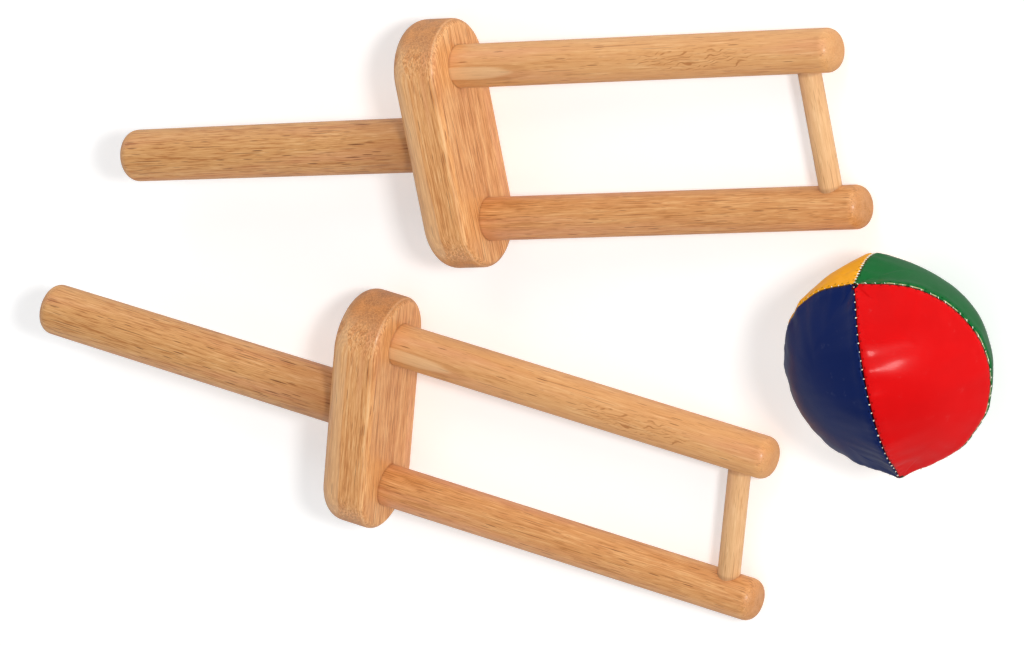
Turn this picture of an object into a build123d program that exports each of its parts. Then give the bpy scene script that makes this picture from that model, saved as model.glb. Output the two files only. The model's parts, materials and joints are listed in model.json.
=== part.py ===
from build123d import *
import math
import os

# Throw-and-catch game set: two wooden catchers and one stuffed ball of four sewn panels,
# all lying loose on one flat surface. Millimetres, +Z up, the surface is Z = 0, and the
# origin lies on it under the middle of the whole set.
# A catcher is modelled in its own frame: origin at the centre of the crosshead's front face,
# +X along the prongs, Y along the crosshead, Z across it. The handle points along -X.

# Crosshead: the rounded wooden block that joins the handle to the prongs
crosshead_length = 88.0
crosshead_width = 36.0
crosshead_thickness = 18.5
crosshead_front_round = 2.5
crosshead_back_round = 6.5

# Prongs: two straight dowels
prong_diameter = 15.0
prong_spacing = 55.0
prong_reach = 146.0
prong_socket_depth = 12.0
prong_tip_round = 4.4

# Cross rod: the thin dowel that closes the gap between the prong tips
cross_rod_diameter = 8.0
cross_rod_from_tip = 12.5
cross_rod_socket_depth = 8.5

# Handle: turned with a slight taper and a tenon
handle_length = 122.0
handle_root_diameter = 19.0
handle_end_diameter = 18.1
handle_end_round = 4.5
tenon_diameter = 14.0
tenon_length = 12.0

# Glue joints, and how far a cutting tool runs past the surface that it enters
glue_gap = 0.05
socket_end_gap = 0.5
cutter_overrun = 1.0

# Ball: a skin of four panels over a loose filling, with one line of thread along each seam
ball_diameter = 72.0
panel_thickness = 1.2
ball_base_flat = 0.8
pole_rise = 19.0
filling_gap = 0.2
thread_diameter = 0.9
thread_depth = 0.35
thread_pole_gap = 5.0
thread_gap = 0.1
thread_end_gap = 0.3

# Where each seam stands about the line from pole to pole, in degrees from straight up
seam_angles = {
    "blue_red": -17.0,
    "red_green": -103.0,
    "green_yellow": -194.0,
    "yellow_blue": -258.0,
}

# Layout on the surface, measured from the first catcher's crosshead
catcher_gap = 24.4
second_catcher_ahead = 23.3
second_catcher_yaw = 18.1
ball_ahead_of_prongs = 16.7
ball_beside_second = 19.9
ball_yaw = -71.2

prong_radius = prong_diameter / 2
ball_radius = ball_diameter / 2
standing = (Align.CENTER, Align.CENTER, Align.MIN)
hanging = (Align.CENTER, Align.CENTER, Align.MAX)


def dowel(radius, length, start):
    """A plain round rod along +X from start."""
    return Pos(start, 0, 0) * Rot(0, 90, 0) * Cylinder(radius, length, align=standing)


def end_edge(shape, towards):
    """The last round edge of a turned piece in the given direction."""
    circles = shape.edges().filter_by(GeomType.CIRCLE)
    return circles.sort_by(Axis(origin=(0, 0, 0), direction=towards))[-1]


def crosshead():
    """A stadium-shaped block with blind sockets for the two prongs and the handle's tenon."""
    outline = Plane.YZ * SlotOverall(crosshead_length, crosshead_width)
    block = Pos(-crosshead_thickness, 0, 0) * extrude(outline, crosshead_thickness)
    back = block.faces().sort_by(Axis.X)[0]
    block = fillet(back.edges(), crosshead_back_round)
    front = block.faces().sort_by(Axis.X)[-1]
    block = fillet(front.edges(), crosshead_front_round)
    prong_hole = prong_socket_depth + socket_end_gap
    prong_socket = dowel(prong_radius + glue_gap, prong_hole + cutter_overrun, -prong_hole)
    tenon_hole = tenon_length + socket_end_gap
    tenon_socket = dowel(
        tenon_diameter / 2 + glue_gap,
        tenon_hole + cutter_overrun,
        -crosshead_thickness - cutter_overrun,
    )
    for side in (-1, 1):
        block -= Pos(0, side * prong_spacing / 2, 0) * prong_socket
    return block - tenon_socket


def handle():
    """A tapered grip with a rounded end, shouldered against the crosshead's back."""
    grip = Cone(handle_root_diameter / 2, handle_end_diameter / 2, handle_length, align=standing)
    grip = Pos(-crosshead_thickness, 0, 0) * Rot(0, -90, 0) * grip
    grip = fillet(end_edge(grip, (-1, 0, 0)), handle_end_round)
    return grip + dowel(tenon_diameter / 2, tenon_length, -crosshead_thickness)


def cross_rod(extra_radius, extra_length):
    """The thin dowel along Y, or with extras the sockets that take it."""
    clear_span = prong_spacing - prong_diameter
    length = clear_span + 2 * (cross_rod_socket_depth + extra_length)
    rod = Cylinder(cross_rod_diameter / 2 + extra_radius, length)
    return Pos(prong_reach - cross_rod_from_tip, 0, 0) * Rot(90, 0, 0) * rod


def prong(side):
    """One dowel with a rounded tip and a blind socket for the cross rod on its inner side."""
    rod = dowel(prong_radius, prong_reach + prong_socket_depth, -prong_socket_depth)
    rod = fillet(end_edge(rod, (1, 0, 0)), prong_tip_round)
    return Pos(0, side * prong_spacing / 2, 0) * rod - cross_rod(glue_gap, socket_end_gap)


def catcher_pieces():
    """All glued pieces of one catcher, in its own frame."""
    return {
        "crosshead": crosshead(),
        "handle": handle(),
        "left_prong": prong(1),
        "right_prong": prong(-1),
        "cross_rod": cross_rod(0, 0),
    }


def rest_tilt():
    """How far a lying catcher leans forward, onto the crosshead's lower front edge and the prong tips."""
    run = prong_reach - prong_tip_round + crosshead_front_round
    rise = crosshead_width / 2 - crosshead_front_round - (prong_radius - prong_tip_round)
    lean = math.atan2(rise, run)
    return lean - math.asin((prong_tip_round - crosshead_front_round) / math.hypot(run, rise))


def rest_height():
    """Height of the catcher's origin above the surface it lies on."""
    tilt = rest_tilt()
    edge_x = -crosshead_front_round
    edge_z = crosshead_front_round - crosshead_width / 2
    return crosshead_front_round + edge_x * math.sin(tilt) - edge_z * math.cos(tilt)


def lying_catcher(x, y, yaw):
    """Location that lays a catcher down at x, y with its prongs pointing along yaw."""
    return Pos(x, y, rest_height()) * Rot(0, 0, yaw) * Rot(0, math.degrees(rest_tilt()), 0)


def ball_form(inset):
    """The ball's body inset from its surface: a sphere that sits flat on the surface below."""
    base_level = ball_base_flat + inset - ball_radius
    below = Pos(0, 0, base_level) * Box(ball_diameter, ball_diameter, ball_diameter, align=hanging)
    return Sphere(ball_radius - inset) - below


def pole_height():
    """How far the two poles stand above the ball's centre, because the filling sags below them."""
    return ball_radius * math.sin(math.radians(pole_rise))


def seam_tube(angle, radius, pole_gap):
    """A round tube just under the skin along one seam, stopping short of both poles by pole_gap."""
    turn = math.radians(angle)
    # the seam lies in a plane through both poles, whose nearest point to the ball's centre is its origin
    normal = Vector(0, -math.cos(turn), -math.sin(turn))
    offset = -pole_height() * math.sin(turn)
    plane = Plane(origin=normal * offset, x_dir=(1, 0, 0), z_dir=normal)
    line_radius = math.sqrt((ball_radius - thread_depth) ** 2 - offset**2)
    pole_x = ball_radius * math.cos(math.radians(pole_rise))
    pole_y = pole_height() * math.cos(turn)
    start = math.atan2(pole_y, pole_x) + pole_gap / line_radius
    section = Pos(line_radius, 0, 0) * Rot(90, 0, 0) * Circle(radius)
    section = plane * Rot(0, 0, math.degrees(start)) * section
    return revolve(section, Axis(plane.origin, plane.z_dir), 180 - 2 * math.degrees(start))


def wedge(first, second):
    """Everything between two seams, seen along the line from pole to pole."""
    reach = 2 * ball_diameter
    corners = [(0, pole_height())]
    for angle in (first, (first + second) / 2, second):
        turn = math.radians(angle)
        corners.append((-reach * math.sin(turn), pole_height() + reach * math.cos(turn)))
    outline = Plane.YZ * make_face(Polyline(*corners, close=True).edges())
    return extrude(outline, ball_diameter, both=True)


def ball_pieces():
    """The ball's panels, threads and filling about the ball's centre, with the poles along X."""
    skin = ball_form(0) - ball_form(panel_thickness)
    groove_radius = thread_diameter / 2 + thread_gap
    grooves = {}
    pieces = {}
    for name, angle in seam_angles.items():
        grooves[name] = seam_tube(angle, groove_radius, thread_pole_gap - thread_end_gap)
        pieces[f"{name}_seam"] = seam_tube(angle, thread_diameter / 2, thread_pole_gap)
    # a panel ends at the seam that its colour begins, and starts at the seam before it
    names = list(seam_angles)
    for before, name in zip([names[-1]] + names, names):
        start = seam_angles[before]
        end = seam_angles[name]
        if end > start:
            end -= 360
        colour = name.split("_")[0]
        pieces[f"{colour}_panel"] = (skin & wedge(start, end)) - grooves[before] - grooves[name]
    pieces["ball_filling"] = ball_form(panel_thickness + filling_gap)
    return pieces


def whole_set():
    """Every piece of the set in place, before the origin is moved under its middle."""
    second_y = crosshead_length + catcher_gap
    ball_x = prong_reach + ball_ahead_of_prongs + ball_radius
    ball_place = Pos(ball_x, second_y - ball_beside_second, ball_radius - ball_base_flat)
    places = {
        "first": lying_catcher(0, 0, 0),
        "second": lying_catcher(second_catcher_ahead, second_y, second_catcher_yaw),
    }
    pieces = {}
    for which, place in places.items():
        for name, piece in catcher_pieces().items():
            pieces[f"{which}_{name}"] = place * piece
    for name, piece in ball_pieces().items():
        pieces[name] = ball_place * Rot(0, 0, ball_yaw) * piece
    return pieces


def main():
    pieces = whole_set()
    boxes = [piece.bounding_box() for piece in pieces.values()]
    middle_x = (min(box.min.X for box in boxes) + max(box.max.X for box in boxes)) / 2
    middle_y = (min(box.min.Y for box in boxes) + max(box.max.Y for box in boxes)) / 2
    centre = Pos(-middle_x, -middle_y, 0)
    os.makedirs("parts", exist_ok=True)
    for name, piece in pieces.items():
        export_step(centre * piece, f"parts/{name}.step")
    print("tilt of a lying catcher, degrees:", round(math.degrees(rest_tilt()), 3))
    print("height of its crosshead's centre:", round(rest_height(), 3))
    print("first catcher's place:", round(-middle_x, 3), round(-middle_y, 3))


main()
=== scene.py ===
import bmesh
import bpy
import json
import math
import random
from mathutils import Matrix, Quaternion, Vector, bvhtree, kdtree, noise


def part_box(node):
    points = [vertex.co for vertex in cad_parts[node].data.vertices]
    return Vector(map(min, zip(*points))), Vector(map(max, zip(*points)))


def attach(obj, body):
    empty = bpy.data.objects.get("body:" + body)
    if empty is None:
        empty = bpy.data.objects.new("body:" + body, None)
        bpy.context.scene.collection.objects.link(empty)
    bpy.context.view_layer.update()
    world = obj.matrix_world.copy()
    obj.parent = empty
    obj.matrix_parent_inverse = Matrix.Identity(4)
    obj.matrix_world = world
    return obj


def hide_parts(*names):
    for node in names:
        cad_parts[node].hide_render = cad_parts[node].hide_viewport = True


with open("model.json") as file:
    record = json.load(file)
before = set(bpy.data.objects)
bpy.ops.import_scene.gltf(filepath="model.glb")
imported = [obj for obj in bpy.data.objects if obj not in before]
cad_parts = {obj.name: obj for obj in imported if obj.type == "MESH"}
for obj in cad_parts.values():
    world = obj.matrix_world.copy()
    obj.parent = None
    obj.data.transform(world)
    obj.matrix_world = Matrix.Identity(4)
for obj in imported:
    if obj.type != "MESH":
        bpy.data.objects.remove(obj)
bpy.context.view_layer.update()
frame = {"nodes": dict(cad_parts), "record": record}
scene = bpy.context.scene
mm = 0.001
print("frame loaded,", len(frame["nodes"]), "nodes")


cameraView = {"azimuth": 134.67, "elevation": 51.2, "roll": -122.48, "distance": 2.749,
              "lens": 281.25, "sensor": 36, "aim": (-0.0016, -0.0212, 0.020), "near": 0.05, "far": 50}


def makeCamera(view):
    azimuth = math.radians(view["azimuth"])
    elevation = math.radians(view["elevation"])
    back = Vector((math.sin(azimuth) * math.cos(elevation),
                   -math.cos(azimuth) * math.cos(elevation),
                   math.sin(elevation)))
    data = bpy.data.cameras.new("camera")
    data.lens = view["lens"]
    data.sensor_width = view["sensor"]
    data.clip_start = view["near"]
    data.clip_end = view["far"]
    camera = bpy.data.objects.new("camera", data)
    scene.collection.objects.link(camera)
    camera.location = Vector(view["aim"]) + back * view["distance"]
    camera.rotation_mode = "QUATERNION"
    roll = Quaternion((0, 0, 1), math.radians(view["roll"]))
    camera.rotation_quaternion = (-back).to_track_quat("-Z", "Y") @ roll
    scene.camera = camera


class Wire:
    # a shader socket that takes ordinary arithmetic: each expression on it adds its Math nodes

    def __init__(self, tree, socket=None):
        self.tree = tree
        self.socket = socket

    def add(self, kind, settings=(), inputs=(), out=0):
        # any node: its settings first, then the values or links of its sockets
        node = self.tree.nodes.new(kind)
        for key, value in dict(settings).items():
            if key == "stops":
                fillRamp(node.color_ramp, value)
            else:
                setattr(node, key, value)
        for key, value in dict(inputs).items():
            if isinstance(value, Wire):
                self.tree.links.new(value.socket, node.inputs[key])
            else:
                node.inputs[key].default_value = value
        if isinstance(out, tuple):
            return [Wire(self.tree, node.outputs[name]) for name in out]
        return Wire(self.tree, node.outputs[out] if node.outputs else None)

    def sum(self, operation, *values):
        return self.add("ShaderNodeMath", {"operation": operation}, dict(enumerate(values)))

    def __add__(self, other):
        return self.sum("ADD", self, other)

    def __radd__(self, other):
        return self.sum("ADD", other, self)

    def __sub__(self, other):
        return self.sum("SUBTRACT", self, other)

    def __rsub__(self, other):
        return self.sum("SUBTRACT", other, self)

    def __mul__(self, other):
        return self.sum("MULTIPLY", self, other)

    def __rmul__(self, other):
        return self.sum("MULTIPLY", other, self)

    def __truediv__(self, other):
        return self.sum("DIVIDE", self, other)

    def __pow__(self, other):
        return self.sum("POWER", self, other)

    def __abs__(self):
        return self.sum("ABSOLUTE", self)

    def most(self, other):
        return self.sum("MAXIMUM", self, other)

    def rise(self, low, high):
        # 0 below low and 1 above high, or the other way round when low is the larger
        return self.add("ShaderNodeMapRange", {"interpolation_type": "SMOOTHSTEP"},
                        {"Value": self, "From Min": low, "From Max": high})

    def noise(self, point, scale, detail=2.0, roughness=0.5, stretch=(1, 1, 1)):
        vector = self.vector("MULTIPLY", point, stretch)
        return self.add("ShaderNodeTexNoise", (),
                        {"Vector": vector, "Scale": scale, "Detail": detail, "Roughness": roughness})

    def vector(self, operation, *values, out=0):
        return self.add("ShaderNodeVectorMath", {"operation": operation}, dict(enumerate(values)), out)

    def mix(self, share, first, second, blend="MIX"):
        return self.add("ShaderNodeMix", {"data_type": "RGBA", "blend_type": blend},
                        {0: share, 6: first, 7: second}, 2)

    def bump(self, height, strength, depth):
        return self.add("ShaderNodeBump", (),
                        {"Strength": strength, "Distance": depth, "Height": height})

    def parts(self):
        return self.add("ShaderNodeSeparateXYZ", (), {0: self}, ("X", "Y", "Z"))


def fillRamp(ramp, stops):
    while len(ramp.elements) < len(stops):
        ramp.elements.new(0.5)
    for element, (position, colour) in zip(ramp.elements, stops):
        element.position = position
        element.color = colour


def paint(red, green, blue):
    # a colour as it is read off a screen, in 0 to 255, as the light values that shaders take
    def linear(value):
        value /= 255
        return value / 12.92 if value <= 0.04045 else ((value + 0.055) / 1.055) ** 2.4
    return (linear(red), linear(green), linear(blue), 1.0)


def newMaterial(name):
    material = bpy.data.materials.new(name)
    material.use_nodes = True
    material.node_tree.nodes.clear()
    return material, Wire(material.node_tree)


def millimetres(start):
    world = start.add("ShaderNodeTexCoord", out="Object")
    return start.vector("MULTIPLY", world, (1000, 1000, 1000))


def finishMaterial(start, inputs):
    # the surface's one shader, joined to the output
    shader = start.add("ShaderNodeBsdfPrincipled", (), inputs)
    start.add("ShaderNodeOutputMaterial", (), {"Surface": shader})


# the paper glows a little, and more where the lights no longer reach it
floorLook = {"reach": 9.0, "drop": 0.0001, "tint": (0.9, 0.9, 0.9, 1), "paleTint": (0.93, 0.93, 0.93, 1),
             "roughness": 0.9, "glow": (0.3, 0.3, 0.3, 1), "farGlow": (0.62, 0.62, 0.62, 1),
             "near": 0.45, "far": 2.2}


def makeFloor(look):
    sheet = bmesh.new()
    bmesh.ops.create_grid(sheet, x_segments=8, y_segments=8, size=look["reach"])
    mesh = bpy.data.meshes.new("floor")
    sheet.to_mesh(mesh)
    sheet.free()
    floor = bpy.data.objects.new("floor", mesh)
    scene.collection.objects.link(floor)
    floor.location.z = -look["drop"]
    material, start = newMaterial("floorPaper")
    place = start.add("ShaderNodeTexCoord", out="Object")
    mottle = start.noise(place, 40, 3)
    away = start.vector("LENGTH", place, out="Value").rise(look["near"], look["far"])
    finishMaterial(start, {
        "Base Color": start.mix(mottle, look["tint"], look["paleTint"]),
        "Roughness": look["roughness"],
        "Emission Color": start.mix(away, look["glow"], look["farGlow"]),
        "Emission Strength": 1,
    })
    floor.data.materials.append(material)
    floor.visible_glossy = False        # gloss sees the dim room below instead


# the room is white around the horizon, dimmer overhead, and dim below, where only gloss sees it
surround = {"under": (0.40, 0.40, 0.40, 1), "low": (1, 1, 1, 1), "high": (0.40, 0.40, 0.405, 1),
            "underTo": -0.12, "lowFrom": -0.05, "lowTo": 0.05, "highFrom": 0.5}
softLights = {
    "keyLight": {"from": (0.60, 0.44, 0.66), "distance": 2.6, "size": 0.32, "power": 33,
                 "tint": (1, 0.99, 0.97), "mirrored": True},
    "sideLight": {"from": (0.93, 0.05, 0.36), "distance": 2.6, "size": 1.2, "power": 7,
                  "tint": (1, 0.985, 0.96), "mirrored": False},
    "fillLight": {"from": (-0.05, 0.85, 0.55), "distance": 2.4, "size": 1.3, "power": 12.5,
                  "tint": (0.98, 0.99, 1), "mirrored": False},
    "backLight": {"from": (-0.25, -0.92, 0.30), "distance": 2.4, "size": 1.4, "power": 11,
                  "tint": (1, 0.985, 0.96), "mirrored": False},
}


def makeLights(lights, around):
    world = bpy.data.worlds.new("studio")
    world.use_nodes = True
    start = Wire(world.node_tree)
    height = start.add("ShaderNodeTexCoord", out="Generated").parts()[2]
    shade = start.mix(height.rise(around["underTo"], around["lowFrom"]), around["under"], around["low"])
    shade = start.mix(height.rise(around["lowTo"], around["highFrom"]), shade, around["high"])
    world.node_tree.links.new(shade.socket, world.node_tree.nodes["Background"].inputs["Color"])
    scene.world = world
    for name, look in lights.items():
        data = bpy.data.lights.new(name, "AREA")
        data.shape = "SQUARE"
        data.size = look["size"]
        data.energy = look["power"]
        data.color = look["tint"]
        light = bpy.data.objects.new(name, data)
        scene.collection.objects.link(light)
        light.visible_glossy = look["mirrored"]
        back = Vector(look["from"]).normalized()
        light.location = back * look["distance"]
        light.rotation_mode = "QUATERNION"
        light.rotation_quaternion = (-back).to_track_quat("-Z", "Y")


makeCamera(cameraView)
makeFloor(floorLook)
makeLights(softLights, surround)
scene.view_settings.view_transform = "Standard"
print("camera, floor and lights made")


# distances on a catcher in millimetres, in its own axes: X along the prongs, Y along the crosshead
catcherSizes = {"sideFromAxis": 18.0, "sideFromFront": 7.25, "prongRadius": 7.5, "prongSpacing": 55.0,
                "rodFromFront": 133.5, "rodRadius": 4.0, "handleRadius": 9.5, "thickness": 18.5}

# each piece: which way its grain runs, its colours, its share of pores, where in the wood it was cut,
# how strong its long thin pores are and how much its streaks differ
woodLooks = {
    "crosshead": {
        "grain": "Y", "dark": (192, 126, 70), "base": (219, 157, 98), "light": (234, 183, 126),
        "end": (160, 106, 66), "pore": (132, 76, 38), "pores": 0.5, "shift": (11, 3, 7),
        "lines": 0.8, "contrast": 1.1},
    "handle": {
        "grain": "X", "dark": (178, 116, 62), "base": (209, 154, 96), "light": (223, 174, 119),
        "end": (192, 135, 86), "pore": (96, 50, 22), "pores": 0.85, "shift": (240, 31, 52),
        "lines": 0.6, "contrast": 0.85},
    "left_prong": {
        "grain": "X", "dark": (199, 138, 82), "base": (218, 161, 104), "light": (231, 183, 129),
        "end": (203, 150, 98), "pore": (140, 84, 42), "pores": 0.4, "shift": (65, 83, 19),
        "lines": 0.5, "contrast": 0.65},
    "right_prong": {
        "grain": "X", "dark": (182, 119, 64), "base": (211, 149, 91), "light": (226, 172, 114),
        "end": (196, 140, 93), "pore": (128, 70, 32), "pores": 0.6, "shift": (151, 47, 88),
        "lines": 0.6, "contrast": 0.85},
    "cross_rod": {
        "grain": "Y", "dark": (200, 147, 93), "base": (222, 175, 125), "light": (235, 195, 147),
        "end": (206, 154, 104), "pore": (160, 106, 58), "pores": 0.3, "shift": (34, 71, 40),
        "lines": 0.6, "contrast": 0.65},
}


# each pattern in the wood: its size, how fine it is, and how far it is drawn out along the grain
woodPatterns = {
    "wander": {"scale": 0.05, "detail": 2, "roughness": 0.5, "stretch": (0.35, 1, 1)},
    "bands": {"scale": 0.28, "detail": 2, "roughness": 0.5, "stretch": (0.05, 1, 1)},
    "streaks": {"scale": 1.4, "detail": 2, "roughness": 0.6, "stretch": (0.05, 1, 1)},
    "fibres": {"scale": 2.8, "detail": 3, "roughness": 0.65, "stretch": (0.05, 1, 1)},
    "hairs": {"scale": 5.0, "detail": 2, "roughness": 0.6, "stretch": (0.022, 1, 1)},
    "blush": {"scale": 0.11, "detail": 2, "roughness": 0.5, "stretch": (0.12, 1, 1)},
}

# each kind of pore: how far its cells are drawn out, and from where to where it fades towards its middle
woodPores = {
    "pores": {"stretch": (0.08, 1.15, 1.15), "edge": (0.22, 0.13)},
    "flecks": {"stretch": (0.16, 2.3, 2.3), "edge": (0.26, 0.14)},
    "lines": {"stretch": (0.022, 1.2, 1.2), "edge": (0.19, 0.12)},
}

# what all the wood shares: its lacquer, and the colours of blush, glue, the lighter front edge, the
# painted shadow on the handle's root and the painted reflection on the crosshead's back
lacquerLook = {"roughness": 0.42, "specular": 0.35, "coat": 0.2, "coatRoughness": 0.2, "bump": 0.35,
               "bumpHeight": 0.0001}
woodMarks = {"blush": (216, 146, 112), "glue": (150, 92, 52), "rodHole": (158, 78, 46),
             "crossheadShadow": (156, 92, 46), "backReflection": (226, 188, 144), "paleFrontEdge": (243, 201, 152),
             "tongue": (232, 192, 146), "tongueRim": (178, 114, 60), "curl": (172, 108, 56)}

# marks on single pieces, in millimetres: a painted reflection as a pale band towards the crosshead's
# back, a lighter line along its front edge, larger pores at one end of the handle, and a pale tongue
# where the left prong leaves the crosshead
reflectionPlace = {"back": 13.5, "waver": 12, "edge": (3.6, 1.4), "strength": 0.42}
frontEdgePlace = {"back": 1.3, "edge": (0.45, 0.15), "strength": 0.22}
openPores = {"from": -80, "to": -30, "edge": (0.36, 0.22)}
tonguePlace = {"along": 5, "length": 21, "across": 26.8, "width": 2.4, "waver": 3, "above": 2.5}


def catcherPlace(which):
    # a lying catcher's own axes, from the flat side of its crosshead that it would stand on
    sizes = catcherSizes
    mounts = frame["record"]["mounts"]
    side = next(mount for mount in mounts if mount["name"] == which + "_crosshead_side")
    down = Vector(side["axis"])
    tilt = math.asin(math.hypot(down.x, down.y))
    yaw = math.atan2(-down.y, -down.x)
    turn = Matrix.Rotation(yaw, 4, "Z") @ Matrix.Rotation(tilt, 4, "Y")
    inner = Vector((sizes["sideFromFront"], 0, sizes["sideFromAxis"])) * mm
    return Matrix.Translation(Vector(side["pos_m"]) + turn.to_3x3() @ inner) @ turn


def woodMaterial(name, place, part, look):
    material, start = newMaterial(name)
    world = start.add("ShaderNodeTexCoord", out="Object")
    own = start.add("ShaderNodeMapping", {"vector_type": "TEXTURE"},
                    {"Vector": world, "Location": place.translation, "Rotation": place.to_euler(),
                     "Scale": (mm, mm, mm)})
    x, y, z = own.parts()
    along, across = (x, y) if look["grain"] == "X" else (y, x)
    grained = start.add("ShaderNodeCombineXYZ", (), {0: along, 1: across, 2: z})
    grained = start.vector("ADD", grained, look["shift"])

    # how squarely the surface cuts the fibres: 1 on end grain, 0 along the grain
    grainAxis = place.to_3x3() @ Vector((1, 0, 0) if look["grain"] == "X" else (0, 1, 0))
    facing = start.add("ShaderNodeTexCoord", out="Normal")
    cut = abs(start.vector("DOT_PRODUCT", facing, grainAxis, out="Value"))
    endGrain = cut.rise(0.42, 0.86)

    # growth bands and streaks run along the piece, fibres are hair lines, pores are short dark dashes
    wander, bands, streaks, fibres, hairs, blush = [start.noise(grained, **pattern)
                                                    for pattern in woodPatterns.values()]
    tone = (bands * 0.6 + streaks * 1.3 + fibres * 0.9 + wander * 0.4 - 1.6) * look["contrast"] + 0.5
    wood = start.add("ShaderNodeValToRGB", {"stops": [
        (0.22, paint(*look["dark"])), (0.44, paint(*look["base"])),
        (0.56, paint(*look["base"])), (0.80, paint(*look["light"]))]}, {"Fac": tone})
    wood = start.mix(blush.rise(0.5, 0.72) * 0.35, wood, paint(*woodMarks["blush"]))
    wood = start.mix(hairs.rise(0.5, 0.7) * 0.5, wood, paint(*look["dark"]))

    distance, pores, pick, strength = woodCells(start, grained, woodPores["pores"])
    pores = pores * pick.rise(1 - look["pores"], 1.05 - look["pores"])
    if part == "handle":
        near = x.rise(openPores["from"], openPores["to"])
        pores = pores.most(distance.rise(*openPores["edge"]) * pick.rise(0.5, 0.55) * near)
    flecks, chosen = woodCells(start, grained, woodPores["flecks"])[1:3]
    bold = flecks * chosen.rise(0.5, 0.6) * (1 - endGrain)
    wood = start.mix(flecks * (0.45 + endGrain * 0.2), wood, paint(*look["dark"]))
    wood = start.mix(bold * 0.3, wood, paint(*look["pore"]))
    wood = start.mix(pores * (0.35 + strength * 0.6), wood, paint(*look["pore"]))

    # long thin pores
    lines, chosen = woodCells(start, grained, woodPores["lines"])[1::2]
    lines = lines * chosen.rise(0.35, 0.5) * (1 - endGrain)
    wood = start.mix(lines * look["lines"], wood, paint(*look["pore"]))

    # end grain soaks up more lacquer: darker, pinker and mottled
    mottle = start.noise(own, 0.3, 3, 0.65)
    speck = start.noise(own, 1.9, 3, 0.7)
    soaked = start.mix(mottle.rise(0.3, 0.7), paint(*look["end"]), paint(*look["dark"]))
    soaked = start.mix(speck.rise(0.42, 0.62) * 0.55, soaked, paint(*look["base"]))
    # half-cut fibres between the two show as a fine woven pattern
    weave = start.noise(own, 1.5, 2, 0.6, (1, 0.5, 1)).rise(0.46, 0.6)
    weave = weave * cut.rise(0.2, 0.5) * cut.rise(0.85, 0.6)
    wood = start.mix(endGrain * 0.88, wood, soaked)
    wood = start.mix(weave * 0.5, wood, paint(*look["end"]))

    relief = fibres * 0.35 - pores * 0.9 - flecks * 0.35 - lines * 0.6
    for mask, colour in jointMarks(part, start, x, y, z):
        wood = start.mix(mask, wood, paint(*colour))
        relief = relief - mask * 0.5
    if part == "crosshead":
        # painted reflection: a pale band on the rounding at the crosshead's back, where a light would be
        # mirrored
        reflection = abs(x + reflectionPlace["back"] + (bands - 0.5) * reflectionPlace["waver"]).rise(*reflectionPlace["edge"])
        reflection = reflection * (1 - endGrain) * reflectionPlace["strength"]
        wood = start.mix(reflection, wood, paint(*woodMarks["backReflection"]))
        # a lighter line just behind the crosshead's front edge
        frontEdge = abs(x + frontEdgePlace["back"]).rise(*frontEdgePlace["edge"]) * frontEdgePlace["strength"]
        wood = start.mix(frontEdge, wood, paint(*woodMarks["paleFrontEdge"]))
    if part == "left_prong":
        # the tongue lies between two dark streaks
        offX = (x - tonguePlace["along"]) / tonguePlace["length"]
        offY = (y - tonguePlace["across"] + (bands - 0.5) * tonguePlace["waver"]) / tonguePlace["width"]
        tongue = offX * offX + offY * offY
        above = z.rise(0, tonguePlace["above"])
        rim = abs(tongue - 1.3).rise(0.65, 0.1) * above * streaks.rise(0.35, 0.6)
        wood = start.mix(rim * 0.6, wood, paint(*woodMarks["tongueRim"]))
        wood = start.mix(tongue.rise(1.0, 0.6) * above * 0.45, wood, paint(*woodMarks["tongue"]))
        curls = curlFigure(start, own, x, y, z)
        wood = start.mix(curls * 0.8, wood, paint(*woodMarks["curl"]))
        relief = relief - curls * 0.3
    lacquer = lacquerLook
    bump = start.bump(relief, lacquer["bump"], lacquer["bumpHeight"])
    finishMaterial(start, {
        "Base Color": wood,
        "Roughness": lacquer["roughness"] + fibres * 0.12 + endGrain * 0.1,
        "Normal": bump,
        "Specular IOR Level": lacquer["specular"],
        "Coat Weight": lacquer["coat"],
        "Coat Roughness": lacquer["coatRoughness"],
    })
    return material


def woodCells(start, grained, look):
    # drawn-out cells: how far a point is from its cell's middle, the pore there, and the cell's chances
    cells = start.vector("MULTIPLY", grained, look["stretch"])
    distance, chance = start.add("ShaderNodeTexVoronoi", (), {"Vector": cells, "Scale": 1.0},
                                 ("Distance", "Color"))
    return [distance, distance.rise(*look["edge"])] + chance.parts()[:2]


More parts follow.
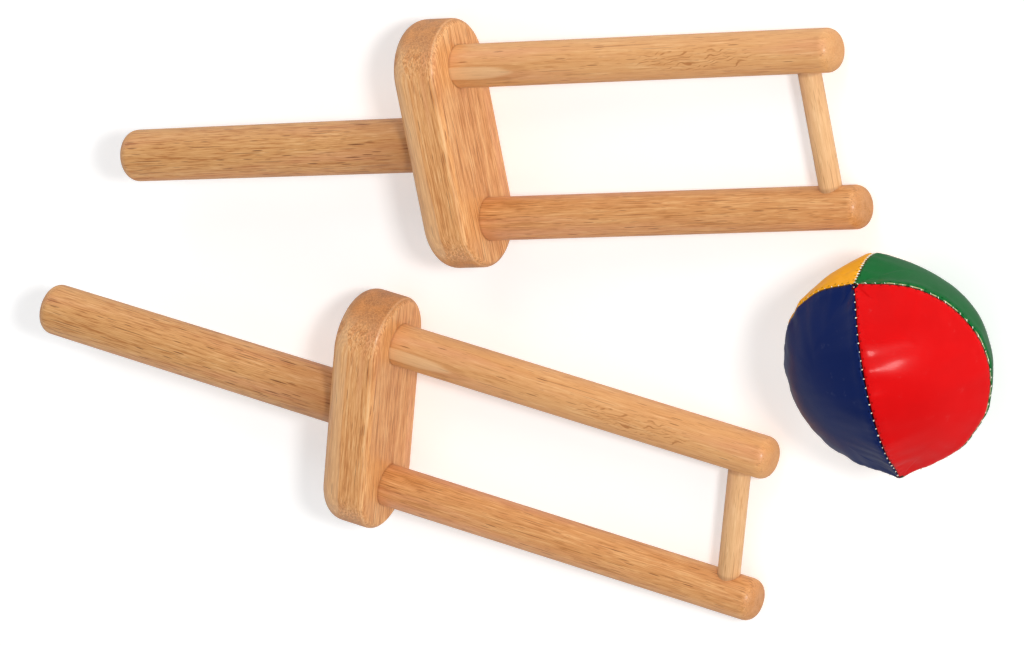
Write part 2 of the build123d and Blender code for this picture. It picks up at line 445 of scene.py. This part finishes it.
def jointMarks(part, start, x, y, z):
    # the thin dark line of glue and torn fibre where one piece enters another, and on the handle a
    # painted shadow where the crosshead shades its root
    sizes = catcherSizes
    ragged = start.noise(start.add("ShaderNodeCombineXYZ", (), {0: x, 1: y, 2: z}), 1.6, 3) * 0.9
    glue = woodMarks["glue"]

    def ring(first, second, radius, width):
        reach = (first * first + second * second) ** 0.5
        return (reach - radius + ragged).rise(width + 0.45, 0.45) * 0.16

    if part == "crosshead":
        prongLine = ring(abs(y) - sizes["prongSpacing"] / 2, z, sizes["prongRadius"], 0.8)
        handleLine = ring(y, z, sizes["handleRadius"], 1.2)
        return [(prongLine * x.rise(-2, -0.5), glue), (handleLine * x.rise(-16, -17.5), glue)]
    if part in ("left_prong", "right_prong"):
        inner = (abs(y) - sizes["prongSpacing"] / 2).rise(0, -2)
        rodHole = ring(x - sizes["rodFromFront"], z, sizes["rodRadius"], 1.5) * inner
        return [(x.rise(0.9, 0.1) * 0.35, glue), (rodHole, woodMarks["rodHole"])]
    if part == "handle":
        fromShoulder = x + sizes["thickness"]
        # painted shadow: the handle is darkened next to the crosshead and fades out over 42 mm, as if
        # the crosshead shaded it
        shadedRoot = fromShoulder.rise(-42, -1) * 0.42
        return [(shadedRoot, woodMarks["crossheadShadow"]), (fromShoulder.rise(-1.2, -0.1) * 0.5, glue)]
    buried = abs(y) - (sizes["prongSpacing"] / 2 - sizes["prongRadius"])
    return [(buried.rise(-0.9, 0.4) * 0.4, glue)]


# a patch of wavy figure on top of the left prong: its middle, its half length and half width in
# millimetres, how far its lines lean and how far apart they are
curlPlace = {"along": 95.5, "length": 25.0, "across": 28.3, "width": 4.2, "slant": 0.16, "spacing": 1.15}


def curlFigure(start, own, x, y, z):
    offX = (x - curlPlace["along"]) / curlPlace["length"]
    offY = (y - curlPlace["across"]) / curlPlace["width"]
    ragged = start.noise(own, 0.35, 2) - 0.5
    patch = (offX * offX + offY * offY + ragged * 0.9).rise(1.05, 0.55) * z.rise(1, 3)
    wobble = start.noise(own, 0.20, 1.5, 0.5, (0.6, 1.3, 1.3)) * 5.0
    phase = (y + wobble - x * curlPlace["slant"]) / curlPlace["spacing"]
    lines = phase.sum("PINGPONG", phase, 0.5)
    broken = start.noise(own, 0.8, 2, 0.5, (0.25, 1.2, 1.2)).rise(0.38, 0.54)
    return patch * broken * lines.rise(0.17, 0.05)


def dressCatchers():
    for which in ("first", "second"):
        place = catcherPlace(which)
        for part, look in woodLooks.items():
            node = frame["nodes"][which + "_" + part]
            node.data.materials.clear()
            node.data.materials.append(woodMaterial(which + "_" + part + "_wood", place, part, look))


dressCatchers()
print("wood finishes made")


# millimetres and degrees; an angle turns about the line from pole to pole, from straight up
ballForm = {"radius": 36.0, "turn": -71.2, "nod": (2.2, 7.9, -0.1), "poleRise": 23.5, "seamRadius": 36.6,
            "poleReach": 5.4, "firstPoleLift": 1.3, "secondPoleLift": 2.1, "lean": (1.4, 1.35, -0.95),
            "lumps": 0.35, "lumpSize": 17.0, "skin": 1.2, "seed": 7}

# each seam: where it stands, how far it bulges halfway along, and its stitches
seams = {
    "blue_red": {"angle": -14.9, "bulge": -0.7,
                 "pitch": 3.0, "reach": 0.62, "slant": 0.3, "thick": 0.42},
    "red_green": {"angle": -105.8, "bulge": 0.1,
                  "pitch": 3.1, "reach": 0.9, "slant": 0.9, "thick": 0.34},
    "green_yellow": {"angle": -188.6, "bulge": 0.0,
                     "pitch": 1.9, "reach": 0.85, "slant": 0.5, "thick": 0.4},
    "yellow_blue": {"angle": -257.1, "bulge": 0.9,
                    "pitch": 3.0, "reach": 0.5, "slant": 0.4, "thick": 0.3},
}

# each panel: the seams it lies between, how far its middle is flattened and its mesh across
panels = {
    "blue": {"seams": ("yellow_blue", "blue_red"), "flat": 5.0, "across": 84, "colour": (13, 31, 83)},
    "red": {"seams": ("blue_red", "red_green"), "flat": 3.2, "across": 64, "colour": (205, 11, 13)},
    "green": {"seams": ("red_green", "green_yellow"), "flat": 5.2, "across": 68, "colour": (20, 98, 46)},
    "yellow": {"seams": ("green_yellow", "yellow_blue"), "flat": 1.5, "across": 48,
               "colour": (240, 164, 26)},
}
panelMesh = {"along": 120, "gather": 0.5, "merge": 0.000005}


def ballCentre():
    low = Vector((1, 1, 1))
    high = -low
    for name in panels:
        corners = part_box(name + "_panel")
        low = Vector(map(min, low, corners[0]))
        high = Vector(map(max, high, corners[1]))
    middle = (low + high) / 2
    return Vector((middle.x, middle.y, high.z - ballForm["radius"] * mm))


def skinPoint(angle, share, bulge=0.0, flat=0.0, middle=0.0):
    # a point of the skin in millimetres from the ball's centre, share of the way from pole to pole
    form = ballForm
    radius = form["radius"]
    rise = math.radians(form["poleRise"])
    poleX, poleZ = radius * math.cos(rise), radius * math.sin(rise)
    turn = math.radians(angle)
    arc = math.sqrt(radius ** 2 - (poleZ * math.sin(turn)) ** 2)
    drop = poleZ * math.cos(turn)
    side = math.atan2(drop, poleX)
    swing = math.pi - side + share * (2 * side - math.pi)
    height = arc * math.sin(swing) - drop
    ball = Vector((arc * math.cos(swing), -math.sin(turn) * height, poleZ + math.cos(turn) * height))
    outward = ball.normalized()
    halfway = math.sin(math.pi * min(max(share, 0), 1))
    reach = form["seamRadius"] + bulge * halfway - flat * middle * math.sqrt(halfway)
    for end, lift in ((-1, form["firstPoleLift"]), (1, form["secondPoleLift"])):
        pole = Vector((end * poleX, 0, poleZ)) / radius
        reach += lift * math.exp(-(outward.angle(pole) * radius / form["poleReach"]) ** 2)
    wave = noise.noise(outward * radius / form["lumpSize"] + Vector((form["seed"], 0, 0)))
    reach += form["lumps"] * wave
    return outward * reach


def ballToRow():
    nod = Vector(ballForm["nod"])
    place = Matrix.Translation(ballCentre() + Vector(ballForm["lean"]) * mm)
    place = place @ Matrix.Rotation(math.radians(nod.length), 4, nod)
    return place @ Matrix.Rotation(math.radians(ballForm["turn"]), 4, "Z") @ Matrix.Scale(mm, 4)


def onFloor(point, lowest=0.03 * mm):
    # the stuffing gives way where the ball rests on the floor
    return Vector((point.x, point.y, max(point.z, lowest)))


def panelSkin(panel):
    # one gore, laid out as a grid that is finer towards its two seams
    skin = bmesh.new()
    first, last = (seams[name] for name in panel["seams"])
    bmesh.ops.create_grid(skin, x_segments=panel["across"], y_segments=panelMesh["along"], size=0.5)
    place = ballToRow()
    for vertex in skin.verts:
        across = vertex.co.x + 0.5
        across -= panelMesh["gather"] * math.sin(2 * math.pi * across) / (2 * math.pi)
        angle = first["angle"] + ((last["angle"] - first["angle"]) % -360) * across
        bulge = first["bulge"] + (last["bulge"] - first["bulge"]) * across
        middle = 1 - (2 * across - 1) ** 2
        vertex.co = place @ skinPoint(angle, vertex.co.y + 0.5, bulge, panel["flat"], middle)
    bmesh.ops.remove_doubles(skin, verts=skin.verts, dist=panelMesh["merge"])
    return skin


seamForm = {"samples": 400, "depth": 0.75, "width": 0.55, "puff": 0.14, "puffAt": 2.4, "puffWidth": 1.7,
            "pucker": 0.12, "puckerPitch": 3.1, "puckerReach": 2.2, "fold": 0.8, "foldPitch": 5.0,
            "foldWidth": 16, "foldReach": 9.0, "foldSeed": 3.7, "foldsApart": 19.3, "poleFade": 2.5}


def seamLines():
    # points along every seam, with how far along it each lies, in metres
    place = ballToRow()
    lines = {}
    count = seamForm["samples"]
    for name, seam in seams.items():
        points = [place @ skinPoint(seam["angle"], step / count, seam["bulge"])
                  for step in range(count + 1)]
        runs = [0.0]
        for before, after in zip(points, points[1:]):
            runs.append(runs[-1] + (after - before).length)
        lines[name] = list(zip(points, runs))
    return lines


def seamFinder(lines):
    samples = [(point, run, order, min(run, line[-1][1] - run) / mm)
               for order, line in enumerate(lines.values()) for point, run in line]
    tree = kdtree.KDTree(len(samples))
    for index, sample in enumerate(samples):
        tree.insert(sample[0], index)
    tree.balance()
    return tree, samples


def gatherSeams(skin, tree, samples, paleEdge):
    # pulls the sewn edges in, puffs the skin beside them and gathers it into small folds
    form = seamForm
    gapLayer = skin.verts.layers.float.new("seamGap")
    runLayer = skin.verts.layers.float.new("seamRun")
    paleLayer = skin.verts.layers.float.new("paleEdge")
    skin.normal_update()
    centre = ballCentre()
    moves = []
    for vertex in skin.verts:
        index, distance = tree.find(vertex.co)[1:]
        run, order, fromPole = samples[index][1:]
        gap = distance / mm
        place = run / mm
        dip = form["depth"] * math.exp(-(gap / form["width"]) ** 2)
        puff = form["puff"] * math.exp(-((gap - form["puffAt"]) / form["puffWidth"]) ** 2)
        beat = math.cos(2 * math.pi * place / form["puckerPitch"])
        pucker = form["pucker"] * math.exp(-gap / form["puckerReach"]) * beat
        seam = Vector((order * form["foldsApart"], 0, 0))
        fold = Vector((place / form["foldPitch"], gap / form["foldWidth"], form["foldSeed"]))
        fold = noise.noise(seam + fold)
        fold *= form["fold"] * math.exp(-gap / form["foldReach"])
        swell = (puff + pucker + fold) * (1 - math.exp(-gap))
        inward = (centre - vertex.co).normalized()
        fade = 1 - math.exp(-(fromPole / form["poleFade"]) ** 2)
        moves.append((vertex.normal * swell + inward * dip) * fade * mm)
        vertex[gapLayer] = gap
        vertex[runLayer] = place
        vertex[paleLayer] = paleEdge.get(order, 0)
    for vertex, move in zip(skin.verts, moves):
        vertex.co = onFloor(vertex.co + move)


def pieceFrom(shape, name, body, material):
    mesh = bpy.data.meshes.new(name)
    shape.to_mesh(mesh)
    shape.free()
    mesh.polygons.foreach_set("use_smooth", [True] * len(mesh.polygons))
    mesh.materials.append(material)
    piece = bpy.data.objects.new(name, mesh)
    scene.collection.objects.link(piece)
    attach(piece, body)
    return piece


leatherLook = {"grain": 1.5, "roughness": 0.3, "specular": 0.08, "coat": 0.05, "coatRoughness": 0.15,
               "bump": 0.22, "bumpHeight": 0.0001, "holePitch": 3.0, "holeGap": 0.95,
               "backing": (206, 196, 150)}


def toned(colour, share, lift=0.0):
    # a colour scaled and lifted evenly
    return tuple(value * share + lift for value in colour[:3]) + (1,)


def leatherMaterial(name, colour):
    look = leatherLook
    material, start = newMaterial(name)
    place = millimetres(start)
    gap = start.add("ShaderNodeAttribute", {"attribute_name": "seamGap"}, out="Fac")
    run = start.add("ShaderNodeAttribute", {"attribute_name": "seamRun"}, out="Fac")
    tone = start.noise(place, 0.05, 3, 0.55)
    skin = start.mix(tone.rise(0.25, 0.75) * 0.35, colour, toned(colour, 0.72))
    rub = start.noise(place, 0.22, 4, 0.65).rise(0.62, 0.8) * 0.22
    skin = start.mix(rub, skin, toned(colour, 0.82, 0.10))
    # the white backing shows in places along the cut edge; painted shade darkens the seam's groove
    # almost to black, and the thread's real holes are darkened with painted shade
    pale = start.add("ShaderNodeAttribute", {"attribute_name": "paleEdge"}, out="Fac")
    edge = gap.rise(0.6, 0.45) * start.noise(place, 0.35, 2).rise(0.44, 0.54) * pale
    skin = start.mix(edge * 0.8, skin, paint(*look["backing"]))
    # painted shade: almost black in the groove along the seam
    skin = start.mix(gap.rise(0.42, 0.2) * 0.9, skin, toned(colour, 0.05))
    # painted shade: dark dashes at the thread's holes between the stitches
    hole = run.sum("PINGPONG", run, look["holePitch"] / 2).rise(0.5, 0.2)
    hole = hole * abs(gap - look["holeGap"]).rise(0.4, 0.15) * run.rise(1.5, 2.5)
    skin = start.mix(hole * 0.6, skin, toned(colour, 0.2))
    pebbles = start.add("ShaderNodeTexVoronoi", {"feature": "SMOOTH_F1"},
                        {"Vector": place, "Scale": look["grain"], "Smoothness": 0.6}, "Distance")
    creases = start.noise(place, 0.9, 3, 0.6)
    relief = pebbles * 0.5 + creases * 0.6 - hole * 2.0
    bump = start.bump(relief, look["bump"], look["bumpHeight"])
    finishMaterial(start, {
        "Base Color": skin,
        "Roughness": look["roughness"] + creases * 0.08 + rub * 0.5,
        "Normal": bump,
        "Specular IOR Level": look["specular"],
        "Specular Tint": toned(colour, 0.45, 0.55),
        "Coat Weight": look["coat"],
        "Coat Roughness": look["coatRoughness"],
    })
    return material


def makePanels(tree, samples):
    made = []
    for name, panel in panels.items():
        skin = panelSkin(panel)
        bmesh.ops.recalc_face_normals(skin, faces=skin.faces)
        middle = ballCentre()
        face = skin.faces[:][len(skin.faces) // 2]
        if face.normal.dot(face.calc_center_median() - middle) < 0:
            bmesh.ops.reverse_faces(skin, faces=skin.faces)
        gatherSeams(skin, tree, samples, {1: 1.0} if name == "green" else {})
        material = leatherMaterial(name + "_leatherette", paint(*panel["colour"]))
        piece = pieceFrom(skin, name + "_ball_panel", "ball", material)
        wall = piece.modifiers.new("skin", "SOLIDIFY")
        wall.thickness = ballForm["skin"] * mm
        wall.offset = -1
        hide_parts(name + "_panel")
        made.append(piece)
    return made


# each spread is the least and the most of what one stitch differs by
stitchForm = {"fromPole": 1.2, "depth": 0.30, "around": 8, "up": 5, "slantSpread": (0.4, 1.3),
              "thickSpread": (0.85, 1.15), "reachSpread": (0.8, 1.2), "pitchSpread": (0.93, 1.07)}


def threadMaterial():
    material, start = newMaterial("waxed_thread")
    place = millimetres(start)
    twist = start.noise(place, 4.0, 2)
    grey = start.noise(place, 0.4, 2)
    colour = start.mix(twist.rise(0.3, 0.7), paint(214, 206, 184), paint(250, 246, 232))
    colour = start.mix(grey.rise(0.5, 0.8) * 0.3, colour, paint(190, 178, 150))
    bump = start.bump(twist, 0.4, 0.1 * mm)
    finishMaterial(start, {"Base Color": colour, "Roughness": 0.6 + twist * 0.2, "Normal": bump})
    return material


def makeStitches(lines):
    form = stitchForm
    material = threadMaterial()
    centre = ballCentre()
    dice = random.Random(ballForm["seed"])
    for name, line in lines.items():
        shape = bmesh.new()
        length = line[-1][1]
        seam = seams[name]
        run = form["fromPole"] * mm
        index = 0
        while run < length - form["fromPole"] * mm:
            while line[index + 1][1] < run:
                index += 1
            point, ahead = line[index][0], line[index + 1][0]
            forward = (ahead - point).normalized()
            outward = (point - centre).normalized()
            sideways = forward.cross(outward).normalized()
            leaning = forward * seam["slant"] * dice.uniform(*form["slantSpread"])
            sideways = (sideways + leaning).normalized()
            size = seam["thick"] * mm * dice.uniform(*form["thickSpread"])
            stretch = seam["reach"] / seam["thick"] * dice.uniform(*form["reachSpread"])
            turned = Matrix((sideways, outward.cross(sideways), outward)).transposed().to_4x4()
            where = Matrix.Translation(onFloor(point - outward * form["depth"] * mm, size / 2))
            stitch = where @ turned @ Matrix.Diagonal((stretch * size / 2, size / 2, size / 2, 1))
            bmesh.ops.create_uvsphere(shape, u_segments=form["around"], v_segments=form["up"],
                                      radius=1, matrix=stitch)
            run += seam["pitch"] * mm * dice.uniform(*form["pitchSpread"])
        piece = pieceFrom(shape, name + "_stitches", "ball", material)
        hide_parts(name + "_seam")


# the gap is from the outside of the skin, in millimetres
stuffingForm = {"gap": 2.2, "around": 64, "up": 40}


def makeStuffing(skins):
    form = stuffingForm
    material, start = newMaterial("stuffing_fibre")
    place = millimetres(start)
    tuft = start.noise(place, 0.6, 4, 0.7)
    colour = start.mix(tuft, paint(205, 196, 176), paint(240, 234, 220))
    bump = start.bump(tuft, 0.6, 0.6 * mm)
    finishMaterial(start, {"Base Color": colour, "Roughness": 0.95, "Normal": bump})
    shape = bmesh.new()
    bmesh.ops.create_uvsphere(shape, u_segments=form["around"], v_segments=form["up"], radius=1)
    centre = ballCentre()
    layers = [bvhtree.BVHTree.FromPolygons([vertex.co for vertex in skin.data.vertices],
                                           [face.vertices for face in skin.data.polygons])
              for skin in skins]
    for vertex in shape.verts:
        direction = vertex.co.normalized()
        found = [layer.ray_cast(centre, direction)[3] for layer in layers]
        reach = min(distance for distance in found if distance is not None)
        vertex.co = centre + direction * (reach - form["gap"] * mm)
    piece = pieceFrom(shape, "ball_stuffing", "ball", material)
    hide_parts("ball_filling")


lines = seamLines()
tree, samples = seamFinder(lines)
skins = makePanels(tree, samples)
makeStitches(lines)
makeStuffing(skins)
print("ball made")
